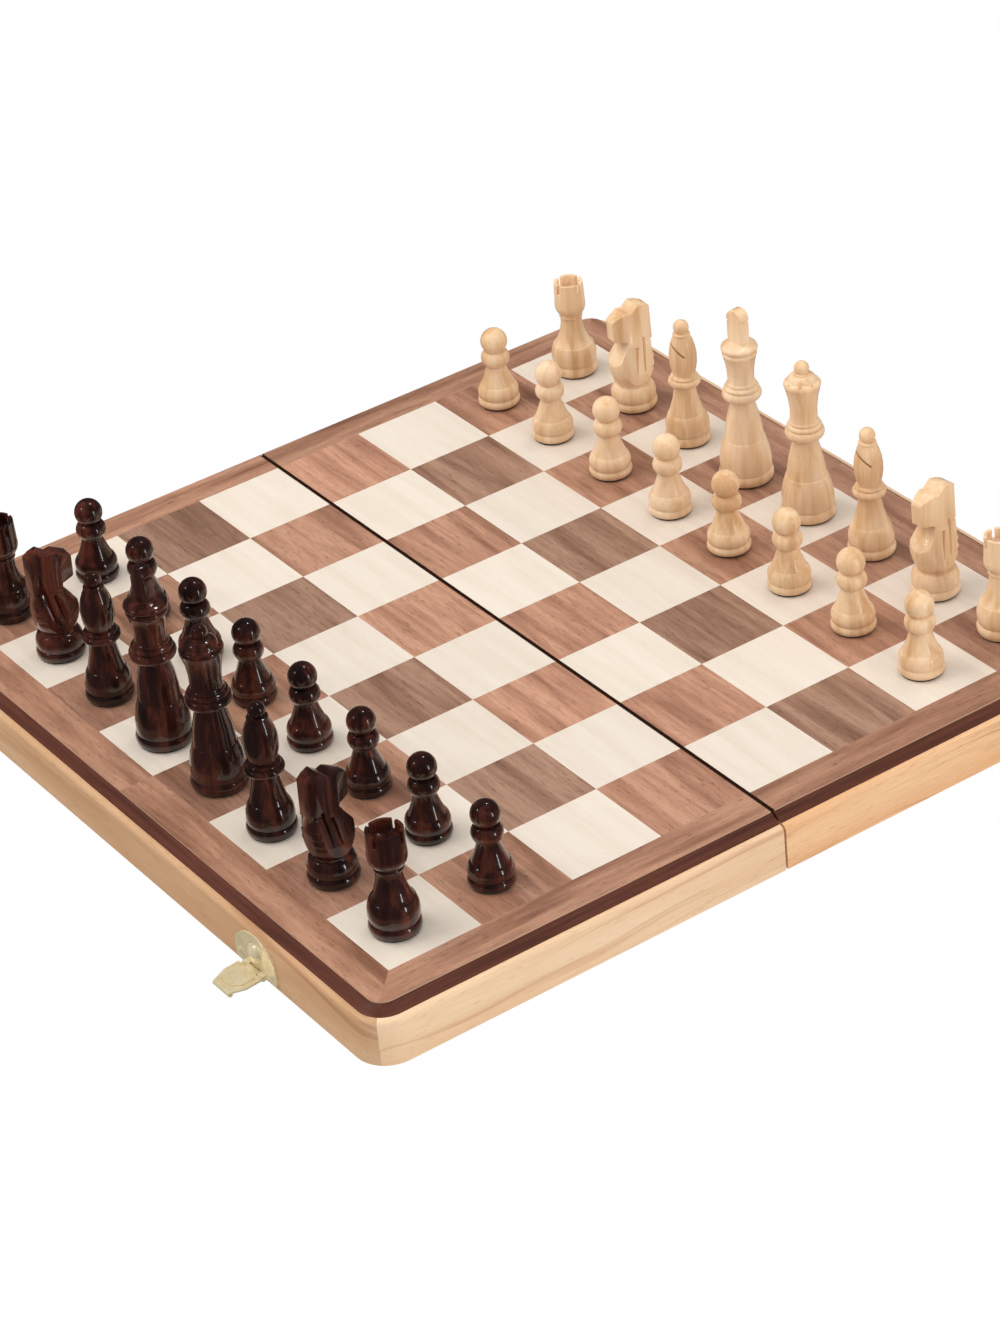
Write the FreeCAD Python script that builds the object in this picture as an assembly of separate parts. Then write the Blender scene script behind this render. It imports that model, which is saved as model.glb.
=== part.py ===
"""Folding wooden chess box with its set of men.

Frame: X runs across the fold from the dark side (-X) to the light side (+X),
Y runs along the fold, Z is up.  The origin is on the fold line at the middle
of the board, in the plane of the rims that the open box stands on.
All sizes are in millimetres.
"""
import FreeCAD, Part
import math
import os
from FreeCAD import Vector

# --- driving dimensions: board -------------------------------------------------
SQUARE = 42.0                 # side of one playing square
BORDER = 15.2                 # walnut strip around the playing field
BOARD_HALF = 190.5            # half of the side of the closed outline (15 in board)
BOARD_HEIGHT = 24.0           # rim to playing surface, one half
VENEER = 0.6                  # thickness of the inlaid squares and strips
PANEL = 3.2                   # core panel under the veneer
PANEL_LIP = 2.7               # how far the foot of the panel's bevel stays inside the wall
WALL = 8.0                    # thickness of the four walls of a half
SEAM_GAP = 1.0                # gap between the two halves when open
CORNER_R = 14.0               # rounded upright corners of the box
SHOULDER_R = 2.2              # rounded top edge of the walls
FELT = 1.0                    # lining glued under the panel, inside the tray
FELT_MARGIN = 0.5             # lining stops short of the walls

# --- driving dimensions: hinges ------------------------------------------------
HINGE_Y = 95.0                # hinges stand this far either side of the middle
HINGE_LENGTH = 25.0
LEAF_WIDTH = 7.2
LEAF_THICKNESS = 1.0
BARREL_R = 1.2
HINGE_PIN_R = 0.6
RUNNING_GAP = 0.04            # radial clearance of a knuckle that turns on its pin
KNUCKLES = 5
KNUCKLE_GAP = 0.12
SWEEP_GAP = 0.3               # room around a knuckle in the wood and the other leaf
SCREW_PITCH = 15.0
SCREW_HEAD_R = 1.7
SCREW_SHANK_R = 0.8
SCREW_LENGTH = 7.0

# --- driving dimensions: clasps ------------------------------------------------
CLASP_Y = 109.0               # clasps stand this far either side of the middle
PLATE_WIDTH = 28.0
PLATE_HEIGHT = 17.0
PLATE_THICKNESS = 0.8
PLATE_BOTTOM = 1.2            # lower edge of the plates above the rim
NAIL_PITCH = 22.0
NAIL_Z = 5.6
NAIL_HEAD_R = 1.6
NAIL_HEAD = 0.7
NAIL_SHANK_R = 0.6
NAIL_LENGTH = 6.0
HOOD_R = 4.8                  # domed hood raised in the middle of the plate
HOOD_Z = 9.6
HOOD_RISE = 2.6
FLAP_PIN_Z = 2.4
FLAP_PIN_R = 0.6
FLAP_BARREL_R = 1.25
FLAP_WIDTH = 16.0
FLAP_LENGTH = 14.2
FLAP_THICKNESS = 0.8
FLAP_REST = 5.0               # degrees below level: the open flap leans on the table
FLAP_KNUCKLE = 7.4
SIDE_KNUCKLE = 3.2
LIP_R = 1.1                   # lip curled at the tip of the flap, which hooks the catch
LIP_HOLE_R = 0.35
STAMPING_RISE = 0.5           # raised panel stamped in the flap
CATCH_WIDTH = 9.0             # half-round ridge that the lip snaps over
CATCH_R = 1.2
CATCH_Z = 9.2

# --- driving dimensions: chess men ---------------------------------------------
PAD = 0.8                     # felt disc under every man
PAD_INSET = 0.9
DRUM_SWELL = 0.8              # bulge of the drum above the groove of the foot
KING_HEIGHT = 82.2
QUEEN_HEIGHT = 74.0
BISHOP_HEIGHT = 59.4
KNIGHT_HEIGHT = 50.6
ROOK_HEIGHT = 45.4
PAWN_HEIGHT = 37.5
KING_FOOT_R = 12.0
QUEEN_FOOT_R = 11.9
BISHOP_FOOT_R = 10.3
KNIGHT_FOOT_R = 10.5
ROOK_FOOT_R = 10.4
PAWN_FOOT_R = 9.5
DARK_GIRTH = 1.0              # the light men are turned slimmer above the foot
LIGHT_GIRTH = 0.88

# How far each man stands from the middle of its square: (x, y), file a first.
LIGHT_RANK_OFFSETS = [(0.0, 0.0), (-0.2, -0.7), (0.3, -1.0), (-0.1, -1.3),
                      (-0.8, -1.4), (0.3, -0.3), (1.2, -1.4), (0.5, 0.5)]
LIGHT_PAWN_OFFSETS = [(-0.6, -0.3), (-0.4, 0.8), (-0.3, 0.6), (-0.1, -0.3),
                      (-0.1, -1.3), (0.2, 0.1), (0.3, 1.1), (0.0, 0.3)]
DARK_RANK_OFFSETS = [(-4.2, -1.0), (-3.8, -0.4), (-4.6, 0.0), (-2.9, -1.1),
                     (-2.9, -1.5), (-3.5, -1.1), (-2.1, -1.0), (-3.0, -1.6)]
DARK_PAWN_OFFSETS = [(-2.2, -1.3), (-2.6, -1.6), (-2.6, -1.8), (-2.4, -1.4),
                     (-2.0, -1.0), (-1.8, -1.6), (-1.4, -0.9), (-1.6, -1.0)]
DARK_ROOK_TURNS = [26.0, 8.0]  # degrees about Z of the a-file and h-file men
LIGHT_ROOK_TURNS = [-13.0, 8.0]
DARK_BISHOP_TURNS = [32.0, 26.0]
LIGHT_BISHOP_TURNS = [142.0, 138.0]
KNIGHT_TURNS = [6.0, -4.0]
KING_TURN = 8.0

# --- values that follow from them -----------------------------------------------
WALL_TOP = BOARD_HEIGHT - VENEER - PANEL
PANEL_TOP = BOARD_HEIGHT - VENEER
FIELD_HALF = 4 * SQUARE
VENEER_HALF = FIELD_HALF + BORDER
PANEL_FOOT_HALF = BOARD_HALF - PANEL_LIP
VENEER_CORNER_R = CORNER_R - (BOARD_HALF - VENEER_HALF)
INNER_HALF = BOARD_HALF - WALL
SEAM_X = SEAM_GAP / 2
FLAP_PIN_X = -(BOARD_HALF + PLATE_THICKNESS + FLAP_BARREL_R)
FILES = "abcdefgh"
BIG = 600.0
UP = Vector(0, 0, 1)
SIDES = {"left": -1, "right": 1}


# --- small helpers ----------------------------------------------------------------
def box(x0, x1, y0, y1, z0, z1):
    """Block between two corners, given in any order."""
    x0, x1 = sorted((x0, x1))
    y0, y1 = sorted((y0, y1))
    z0, z1 = sorted((z0, z1))
    return Part.makeBox(x1 - x0, y1 - y0, z1 - z0, Vector(x0, y0, z0))


def prism(points, z0, z1):
    """Upright block over a plan outline."""
    wire = Part.makePolygon([Vector(x, y, z0) for x, y in points + points[:1]])
    return Part.Face(wire).extrude(UP * (z1 - z0))


def rounded_square(half, radius, z):
    """Closed wire of a square with round corners, in the plane at height z."""
    straight = half - radius
    edges = []
    for quarter in range(4):
        turn = FreeCAD.Rotation(UP, 90 * quarter)
        run = [turn.multVec(Vector(half, y, z)) for y in (-straight, straight)]
        middle = straight + radius * math.cos(math.radians(45))
        corner = [turn.multVec(Vector(x, y, z))
                  for x, y in ((half, straight), (middle, middle), (straight, half))]
        edges.append(Part.makeLine(*run))
        edges.append(Part.Arc(*corner).toShape())
    return Part.Wire(edges)


def turned(start, *steps):
    """Solid of revolution about Z from an outline that starts at (radius, height).

    A step (r, z) is a straight run to that point; a step (r1, z1, r, z) is an
    arc through (r1, z1) that ends at (r, z); a step (z,) is a spherical cap
    that closes on the axis at height z.
    """
    def at(r, z):
        return Vector(r, 0, z)

    def cap_step(r, z, top):
        rise = top - z
        ball_r = (r * r + rise * rise) / (2 * rise)
        half_angle = math.atan2(r, ball_r - rise) / 2
        return (ball_r * math.sin(half_angle),
                top - ball_r + ball_r * math.cos(half_angle), 0, top)

    edges = []
    last = at(*start)
    first_on_axis = at(0, start[1])
    if start[0] > 0:
        edges.append(Part.makeLine(first_on_axis, last))
    for step in steps:
        if len(step) == 1:
            step = cap_step(last.x, last.z, step[0])
        end = at(*step[-2:])
        if len(step) == 2:
            edges.append(Part.makeLine(last, end))
        else:
            edges.append(Part.Arc(last, at(*step[:2]), end).toShape())
        last = end
    if last.x > 0:
        edges.append(Part.makeLine(last, at(0, last.z)))
        last = at(0, last.z)
    edges.append(Part.makeLine(last, first_on_axis))
    return Part.Face(Part.Wire(edges)).revolve(Vector(0, 0, 0), UP, 360)


def rod(radius, start, end):
    """Round bar between two points."""
    run = end - start
    return Part.makeCylinder(radius, run.Length, start, run)


def save(name, solids):
    """Write one node: a solid, or a group of separate solids."""
    shape = solids[0] if len(solids) == 1 else Part.makeCompound(solids)
    shape.exportStep("parts/" + name + ".step")


def half_space(side):
    """Everything that belongs to one half of the box."""
    return box(side * SEAM_X, side * BIG, -BIG, BIG, -BIG, BIG)


# --- board ------------------------------------------------------------------------
def panel(side):
    """Core panel with a bevelled, rounded outer edge."""
    foot = rounded_square(PANEL_FOOT_HALF, CORNER_R - PANEL_LIP, WALL_TOP)
    head = rounded_square(VENEER_HALF, VENEER_CORNER_R, PANEL_TOP)
    return Part.makeLoft([foot, head], True, True).common(half_space(side))


def veneer_squares(side, light):
    """Inlaid squares of one colour on one half."""
    squares = []
    for column in range(8):
        if (column - 3.5) * side < 0:
            continue
        for row in range(8):
            if ((column + row) % 2 == 0) != light:
                continue
            x0 = (column - 4) * SQUARE
            x1 = x0 + SQUARE
            if side < 0:
                x1 = min(x1, -SEAM_X)
            else:
                x0 = max(x0, SEAM_X)
            y0 = (row - 4) * SQUARE
            squares.append(box(x0, x1, y0, y0 + SQUARE, PANEL_TOP, BOARD_HEIGHT))
    return squares


def veneer_strips(side):
    """Border strips of one half, mitred where they meet."""
    sheet = Part.Face(rounded_square(VENEER_HALF, VENEER_CORNER_R, PANEL_TOP))
    sheet = sheet.extrude(UP * VENEER)
    f = FIELD_HALF
    v = VENEER_HALF
    end_strip = prism([(side * f, -f), (side * v, -v), (side * v, v), (side * f, f)],
                      PANEL_TOP, BOARD_HEIGHT)
    strips = [sheet.common(end_strip)]
    for y in (-1, 1):
        long_strip = prism([(side * SEAM_X, y * f), (side * f, y * f),
                            (side * v, y * v), (side * SEAM_X, y * v)],
                           PANEL_TOP, BOARD_HEIGHT)
        strips.append(sheet.common(long_strip))
    return strips


def wall_ring():
    """All outer walls of both halves in one piece, with the soft top shoulder."""
    block = Part.Face(rounded_square(BOARD_HALF, CORNER_R, 0)).extrude(UP * WALL_TOP)
    top_edges = [edge for edge in block.Edges
                 if all(abs(v.Z - WALL_TOP) < 1e-6 for v in edge.Vertexes)]
    block = block.makeFillet(SHOULDER_R, top_edges)
    inner = box(-INNER_HALF, INNER_HALF, -INNER_HALF, INNER_HALF, -1, WALL_TOP + 1)
    return block.cut(inner)


def end_wall(ring, side):
    """Wall across the far end of a half, mitred at both corners."""
    b = BOARD_HALF + 1
    wedge = prism([(0, 0), (side * b, -b), (side * b, b)], -1, WALL_TOP + 1)
    return ring.common(wedge)


def long_wall(ring, side, y):
    """Front or back wall of a half."""
    b = BOARD_HALF + 1
    wedge = prism([(side * SEAM_X, 0), (side * SEAM_X, y * b), (side * b, y * b),
                   (side * SEAM_X, y * SEAM_X)], -1, WALL_TOP + 1)
    return ring.common(wedge)


def seam_wall(side):
    """Inner wall along the fold, let in for the hinges."""
    wall = box(side * SEAM_X, side * (SEAM_X + WALL), -INNER_HALF, INNER_HALF, 0, WALL_TOP)
    for y in (-HINGE_Y, HINGE_Y):
        half_length = HINGE_LENGTH / 2 + KNUCKLE_GAP
        groove = rod(BARREL_R + SWEEP_GAP, Vector(0, y - half_length, 0),
                     Vector(0, y + half_length, 0))
        mortise = box(0, side * LEAF_WIDTH, y - HINGE_LENGTH / 2, y + HINGE_LENGTH / 2,
                      -1, LEAF_THICKNESS)
        wall = wall.cut(groove).cut(mortise)
    return wall


def tray_lining(side):
    """Felt sheet glued under the panel."""
    inner = INNER_HALF - FELT_MARGIN
    return box(side * (SEAM_X + WALL + FELT_MARGIN), side * inner, -inner, inner,
               WALL_TOP - FELT, WALL_TOP)


# --- hinges -----------------------------------------------------------------------
def knuckle_spans(y, own_side):
    """Stretches of the barrel that belong to one leaf, as (start, end)."""
    pitch = HINGE_LENGTH / KNUCKLES
    first = 0 if own_side < 0 else 1
    start = y - HINGE_LENGTH / 2
    return [(start + i * pitch + KNUCKLE_GAP / 2, start + (i + 1) * pitch - KNUCKLE_GAP / 2)
            for i in range(first, KNUCKLES, 2)]


def hinge_leaf(side, y):
    """Leaf with its own knuckles, notched for those of the other leaf."""
    leaf = box(0, side * LEAF_WIDTH, y - HINGE_LENGTH / 2, y + HINGE_LENGTH / 2,
               0, LEAF_THICKNESS)
    notch = BARREL_R + SWEEP_GAP / 2
    for start, end in knuckle_spans(y, -side):
        leaf = leaf.cut(box(-notch, notch, start - KNUCKLE_GAP, end + KNUCKLE_GAP, -5, 5))
    for start, end in knuckle_spans(y, side):
        leaf = leaf.cut(box(-SEAM_X, SEAM_X, start, end, -5, 5))
        leaf = leaf.fuse(rod(BARREL_R, Vector(0, start, 0), Vector(0, end, 0)))
    bore = HINGE_PIN_R + (RUNNING_GAP if side > 0 else 0)
    leaf = leaf.cut(rod(bore, Vector(0, y - BIG, 0), Vector(0, y + BIG, 0)))
    return leaf.removeSplitter()


def hinge_pin(y):
    """Plain pin through all knuckles of one hinge."""
    return rod(HINGE_PIN_R, Vector(0, y - HINGE_LENGTH / 2, 0),
               Vector(0, y + HINGE_LENGTH / 2, 0))


def hinge_screw(side, y):
    """Countersunk screw driven up through a leaf into the seam wall."""
    screw = turned((SCREW_HEAD_R, 0), (SCREW_SHANK_R, LEAF_THICKNESS),
                   (SCREW_SHANK_R, SCREW_LENGTH - 1.5), (0, SCREW_LENGTH))
    slot = box(-0.25, 0.25, -SCREW_HEAD_R, SCREW_HEAD_R, -1, 0.35)
    screw = screw.cut(slot)
    middle_of_leaf = (BARREL_R + LEAF_WIDTH) / 2
    screw.translate(Vector(side * middle_of_leaf, y, 0))
    return screw


# --- clasps -----------------------------------------------------------------------
def face_plate(side, y):
    """Thin brass plate with a domed upper outline, on an end wall."""
    top = PLATE_BOTTOM + PLATE_HEIGHT
    ear_top = PLATE_BOTTOM + 0.55 * PLATE_HEIGHT
    half = PLATE_WIDTH / 2
    inner = side * BOARD_HALF

    def at(dy, z):
        return Vector(inner, y + dy, z)

    edges = [Part.makeLine(at(-half, PLATE_BOTTOM), at(half, PLATE_BOTTOM)),
             Part.makeLine(at(half, PLATE_BOTTOM), at(half, ear_top)),
             Part.Arc(at(half, ear_top), at(0, top), at(-half, ear_top)).toShape(),
             Part.makeLine(at(-half, ear_top), at(-half, PLATE_BOTTOM))]
    plate = Part.Face(Part.Wire(edges)).extrude(Vector(side * PLATE_THICKNESS, 0, 0))
    upright = [edge for edge in plate.Edges
               if abs(edge.Vertexes[0].Y - edge.Vertexes[-1].Y) < 1e-6
               and abs(edge.Vertexes[0].Z - edge.Vertexes[-1].Z) < 1e-6
               and edge.Vertexes[0].Z < ear_top - 1]
    return plate.makeFillet(1.6, upright)


def nail(side, y):
    """Round-headed brass nail through a plate into the end wall."""
    body = turned((NAIL_SHANK_R, -NAIL_LENGTH), (NAIL_SHANK_R, 0), (NAIL_HEAD_R, 0),
                  (NAIL_HEAD,))
    body.rotate(Vector(0, 0, 0), Vector(0, 1, 0), 90 * side)
    body.translate(Vector(side * (BOARD_HALF + PLATE_THICKNESS), y, NAIL_Z))
    return body


def plate_nails(side, y):
    """The two nails that hold one plate."""
    return [nail(side, y - NAIL_PITCH / 2), nail(side, y + NAIL_PITCH / 2)]


def clasp_plate(y):
    """Plate on the dark end: domed hood above, two knuckles for the flap below."""
    plate = face_plate(-1, y)
    face_x = -(BOARD_HALF + PLATE_THICKNESS)
    ball_r = (HOOD_R ** 2 + HOOD_RISE ** 2) / (2 * HOOD_RISE)
    centre = Vector(face_x + ball_r - HOOD_RISE, y, HOOD_Z)
    outside = box(face_x - 2 * HOOD_RISE, face_x, y - BIG, y + BIG, -BIG, BIG)
    hood = Part.makeSphere(ball_r, centre).common(outside)
    hollow = Part.makeSphere(ball_r - PLATE_THICKNESS, centre).common(outside)
    mouth = box(face_x - 2 * HOOD_RISE, face_x, y - HOOD_R, y + HOOD_R, 0, HOOD_Z - 2.2)
    hood = hood.cut(hollow).cut(mouth)
    plate = plate.fuse(hood)
    for end in (-1, 1):
        inner = y + end * (FLAP_KNUCKLE / 2 + KNUCKLE_GAP)
        outer = inner + end * SIDE_KNUCKLE
        knuckle = rod(FLAP_BARREL_R, Vector(FLAP_PIN_X, inner, FLAP_PIN_Z),
                      Vector(FLAP_PIN_X, outer, FLAP_PIN_Z))
        web = box(FLAP_PIN_X, face_x, inner, outer, FLAP_PIN_Z,
                  FLAP_PIN_Z + FLAP_BARREL_R)
        plate = plate.fuse(knuckle).fuse(web)
    bore = rod(FLAP_PIN_R, Vector(FLAP_PIN_X, y - PLATE_WIDTH, FLAP_PIN_Z),
               Vector(FLAP_PIN_X, y + PLATE_WIDTH, FLAP_PIN_Z))
    return plate.cut(bore).removeSplitter()


def clasp_pin(y):
    """Pin that the flap swings on."""
    reach = FLAP_KNUCKLE / 2 + KNUCKLE_GAP + SIDE_KNUCKLE
    return rod(FLAP_PIN_R, Vector(FLAP_PIN_X, y - reach, FLAP_PIN_Z),
               Vector(FLAP_PIN_X, y + reach, FLAP_PIN_Z))


def clasp_flap(y):
    """Swinging flap: knuckle, leaf with a stamped panel, and a curled lip."""
    leaf_z = FLAP_BARREL_R - FLAP_THICKNESS
    clear = FLAP_BARREL_R + SWEEP_GAP
    half = FLAP_WIDTH / 2
    tip = half - 2.4
    bend = -FLAP_LENGTH * 0.6
    outline = [(-clear, -half), (bend, -half), (-FLAP_LENGTH, -tip),
               (-FLAP_LENGTH, tip), (bend, half), (-clear, half)]
    leaf = prism(outline, leaf_z, FLAP_BARREL_R)
    stamped = [(-clear - 1.5, -half + 2.2), (bend, -half + 2.6), (-FLAP_LENGTH + 2.2, -tip + 2.4),
               (-FLAP_LENGTH + 2.2, tip - 2.4), (bend, half - 2.6), (-clear - 1.5, half - 2.2)]
    stamping = prism(stamped, leaf_z, FLAP_BARREL_R + STAMPING_RISE)
    root = box(-clear - 0.5, 0, -FLAP_KNUCKLE / 2, FLAP_KNUCKLE / 2, leaf_z, FLAP_BARREL_R)
    knuckle = rod(FLAP_BARREL_R, Vector(0, -FLAP_KNUCKLE / 2, 0),
                  Vector(0, FLAP_KNUCKLE / 2, 0))
    lip_z = FLAP_BARREL_R - LIP_R
    lip = rod(LIP_R, Vector(-FLAP_LENGTH, -tip, lip_z), Vector(-FLAP_LENGTH, tip, lip_z))
    flap = leaf.fuse(stamping).fuse(root).fuse(knuckle).fuse(lip)
    flap = flap.cut(rod(LIP_HOLE_R, Vector(-FLAP_LENGTH, -half, lip_z),
                        Vector(-FLAP_LENGTH, half, lip_z)))
    flap = flap.cut(rod(FLAP_PIN_R + RUNNING_GAP, Vector(0, -half, 0), Vector(0, half, 0)))
    flap = flap.removeSplitter()
    flap.rotate(Vector(0, 0, 0), Vector(0, -1, 0), FLAP_REST)
    flap.translate(Vector(FLAP_PIN_X, y, FLAP_PIN_Z))
    return flap


def clasp_catch(y):
    """Plate on the light end with the half-round ridge that the lip snaps over."""
    face_x = BOARD_HALF + PLATE_THICKNESS
    ridge = rod(CATCH_R, Vector(face_x, y - CATCH_WIDTH / 2, CATCH_Z),
                Vector(face_x, y + CATCH_WIDTH / 2, CATCH_Z))
    ridge = ridge.common(box(BOARD_HALF + 0.1, face_x + BIG, y - BIG, y + BIG, 0, BIG))
    return face_plate(1, y).fuse(ridge).removeSplitter()


# --- chess men ----------------------------------------------------------------------
def foot(radius, groove, drum_r, drum_top):
    """Outline steps of the moulded foot that every man has.

    It runs from the felt up a torus to the groove at that height, and up a
    swelling drum that ends in a fine step at radius drum_r, height drum_top.
    """
    drum_start = radius - 0.65
    return [(radius, 0.5 * (PAD + groove) - 0.2, radius - 0.6, groove - 0.3),
            (radius - 0.9, groove), (drum_start, groove + 0.4),
            (0.5 * (drum_start + drum_r) + DRUM_SWELL, 0.5 * (groove + drum_top),
             drum_r, drum_top),
            (drum_r - 0.35, drum_top + 0.25)]


def slim(girth, low, high, *steps):
    """The same outline steps with radii that go over from full at height low
    to girth times as much at height high."""
    def scaled(r, z):
        share = min(max((z - low) / (high - low), 0), 1)
        return r * (1 + (girth - 1) * share), z

    slimmed = []
    for step in steps:
        points = [scaled(*step[i:i + 2]) for i in range(0, len(step) - 1, 2)]
        slimmed.append(sum(points, ()) if points else step)
    return slimmed


def pad(radius):
    """Felt disc glued under a man."""
    return turned((radius - PAD_INSET, 0), (radius - PAD_INSET, PAD))


def pawn():
    """Ball head on a thick collar, short bell body, moulded foot."""
    return turned((PAWN_FOOT_R - 0.6, PAD), *foot(PAWN_FOOT_R, 4.3, 7.8, 10.2),
                  (5.9, 14.4, 4.4, 19.2), (4.4, 19.6), (6.4, 23.0, 5.3, 26.3),
                  (4.9, 26.8), (3.95, 27.0), (PAWN_HEIGHT,))


def rook(girth, turn):
    """Hollow battlemented cup on a concave stem."""
    slot = 1.8
    deep = 4.6
    top = ROOK_HEIGHT
    upper = slim(girth, 14.7, 27.0,
                 (8.3, 14.9), (6.1, 20.5, 5.35, 27.6),
                 (6.0, 28.6, 5.6, 29.5), (7.4, 32.0, 7.75, 35.4),
                 (7.4, top), (5.9, top), (5.9, top - deep), (0, top - deep - 1.6))
    body = turned((ROOK_FOOT_R - 0.6, PAD), *foot(ROOK_FOOT_R, 5.2, 9.0, 14.4), *upper)
    for angle in (0, 90):
        cutter = box(-BIG, BIG, -slot / 2, slot / 2, top - deep, top + 1)
        cutter.rotate(Vector(0, 0, 0), UP, turn + angle)
        body = body.cut(cutter)
    return body


def bishop(girth, turn):
    """Mitre with a slanted cut and a ball finial, cup collar, bell body."""
    upper = slim(girth, 14.2, 26.0,
                 (6.4, 19.6, 5.2, 27.0), (5.3, 27.6), (7.6, 28.5),
                 (8.2, 29.8, 7.6, 31.0), (6.6, 31.4), (6.9, 32.1, 6.3, 32.8),
                 (5.4, 33.2), (6.95, 42.6, 4.1, 52.2), (4.4, 52.6), (4.2, 53.2),
                 (2.8, 53.6), (BISHOP_HEIGHT,))
    body = turned((BISHOP_FOOT_R - 0.6, PAD), *foot(BISHOP_FOOT_R, 4.9, 8.0, 14.2), *upper)
    cut = box(-0.5, 0.5, -BIG, BIG, 0, 14)
    cut.rotate(Vector(0, 0, 0), Vector(0, 1, 0), 49)
    cut.translate(Vector(-1.4, 0, 43.6))
    cut.rotate(Vector(0, 0, 0), UP, turn)
    return body.cut(cut)


def queen(girth):
    """Flared coronet with a dome and a ball, ringed cup collar, tall bell body."""
    cuts = 8
    rim_z = 64.8
    upper = slim(girth, 19.6, 34.0,
                 (8.1, 27.2, 6.1, 36.4), (6.1, 37.4), (8.7, 38.7),
                 (9.6, 40.6, 9.0, 42.3), (8.0, 42.7), (8.5, 43.7, 7.7, 44.6),
                 (7.1, 44.9), (7.3, 45.6, 6.8, 46.3), (6.6, 46.8),
                 (7.0, 55.5, 8.7, 62.4), (8.95, 63.8, 8.4, rim_z),
                 (6.9, 65.3), (5.7, 67.4, 4.2, 68.2), (4.2, 68.6), (3.0, 69.0),
                 (QUEEN_HEIGHT,))
    body = turned((QUEEN_FOOT_R - 0.6, PAD), *foot(QUEEN_FOOT_R, 5.4, 9.1, 19.6), *upper)
    for i in range(cuts):
        notch = rod(0.8, Vector(7.4 * girth, 0, rim_z + 0.3), Vector(10.0, 0, rim_z + 0.3))
        notch.rotate(Vector(0, 0, 0), UP, 360 * i / cuts)
        body = body.cut(notch)
    return body


def king(girth, turn):
    """Flared crown under a cap and a blunt cross, ringed cup collar, tall bell body."""
    upper = slim(girth, 20.2, 35.0,
                 (8.2, 28.0, 6.0, 37.6), (6.0, 38.8), (8.7, 40.1),
                 (9.7, 42.0, 9.1, 43.7), (8.1, 44.1), (8.6, 45.1, 7.8, 46.0),
                 (7.1, 46.3), (7.3, 47.0, 6.8, 47.8), (6.5, 48.3),
                 (6.75, 54.0, 8.1, 60.4), (8.5, 61.4, 8.1, 62.3), (7.6, 62.6),
                 (8.0, 63.0), (9.0, 64.3, 8.2, 65.5), (5.6, 66.8))
    body = turned((KING_FOOT_R - 0.6, PAD), *foot(KING_FOOT_R, 5.4, 9.0, 20.2), *upper)
    half_thick = 2.6
    right = [(4.1, 66.0), (4.1, 76.6), (3.4, 77.1), (4.3, 77.7), (4.2, 79.0),
             (3.4, 80.7), (2.2, 81.7), (0.9, KING_HEIGHT)]
    outline = right + [(-y, z) for y, z in reversed(right)]
    wire = Part.makePolygon([Vector(-half_thick, y, z) for y, z in outline + outline[:1]])
    cross = Part.Face(wire).extrude(Vector(2 * half_thick, 0, 0))
    cross.rotate(Vector(0, 0, 0), UP, turn)
    return body.fuse(cross).removeSplitter()


def knight(facing):
    """Flat-carved horse head and breast on a turned foot; facing is degrees about Z."""
    jaw = 32.5
    base = turned((KNIGHT_FOOT_R - 0.6, PAD), *foot(KNIGHT_FOOT_R, 4.6, 8.6, 11.4),
                  (7.6, 12.0), (7.6, 12.8))
    outline = [Vector(x, -BIG, z) for x, z in
               ((10.2, 12.4), (10.2, 23.0), (7.4, 27.0), (4.6, 31.0), (3.4, 33.4),
                (3.8, 34.6), (8.8, 35.2), (9.5, 36.0), (9.8, 44.8), (9.2, 45.8),
                (3.6, 48.2), (1.0, 47.6), (-2.8, KNIGHT_HEIGHT), (-6.4, 50.0),
                (-9.0, 48.6), (-9.6, 28.0), (-9.6, 20.0), (-8.0, 12.4))]
    slab = Part.Face(Part.makePolygon(outline + outline[:1])).extrude(Vector(0, 2 * BIG, 0))
    head_plan = [(-11, 3.2), (-3, 4.6), (3, 4.6), (10.5, 2.4)]
    neck_plan = [(-11, 3.9), (-6.0, 9.0), (10.5, 9.0)]
    head_plan += [(x, -y) for x, y in reversed(head_plan)]
    neck_plan += [(x, -y) for x, y in reversed(neck_plan)]
    head = slab.common(prism(head_plan, jaw, BIG))
    breast = turned((7.2, 12.4), (10.0, 20.0, 9.5, 27.5), (9.3, jaw))
    neck = slab.common(prism(neck_plan, 12.4, jaw)).common(breast)
    for y in (-1, 1):
        # The sides of the neck lean in towards the jaw.
        shave = box(-BIG, BIG, 0, y * 20, -BIG, BIG)
        shave.rotate(Vector(0, 0, 0), Vector(1, 0, 0), y * 9.0)
        shave.translate(Vector(0, y * 4.7, jaw))
        neck = neck.cut(shave)
    man = base.fuse(neck).fuse(head).removeSplitter()
    man.rotate(Vector(0, 0, 0), UP, facing)
    return man


def save_man(name, column, row, offset, solid, foot_r):
    """Stand a man with its felt near the middle of its square and write it."""
    x = (column - 3.5) * SQUARE + offset[0]
    y = (row - 3.5) * SQUARE + offset[1]
    place = Vector(x, y, BOARD_HEIGHT)
    solids = [solid, pad(foot_r)]
    for each in solids:
        each.translate(place)
    save(name, solids)


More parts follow.
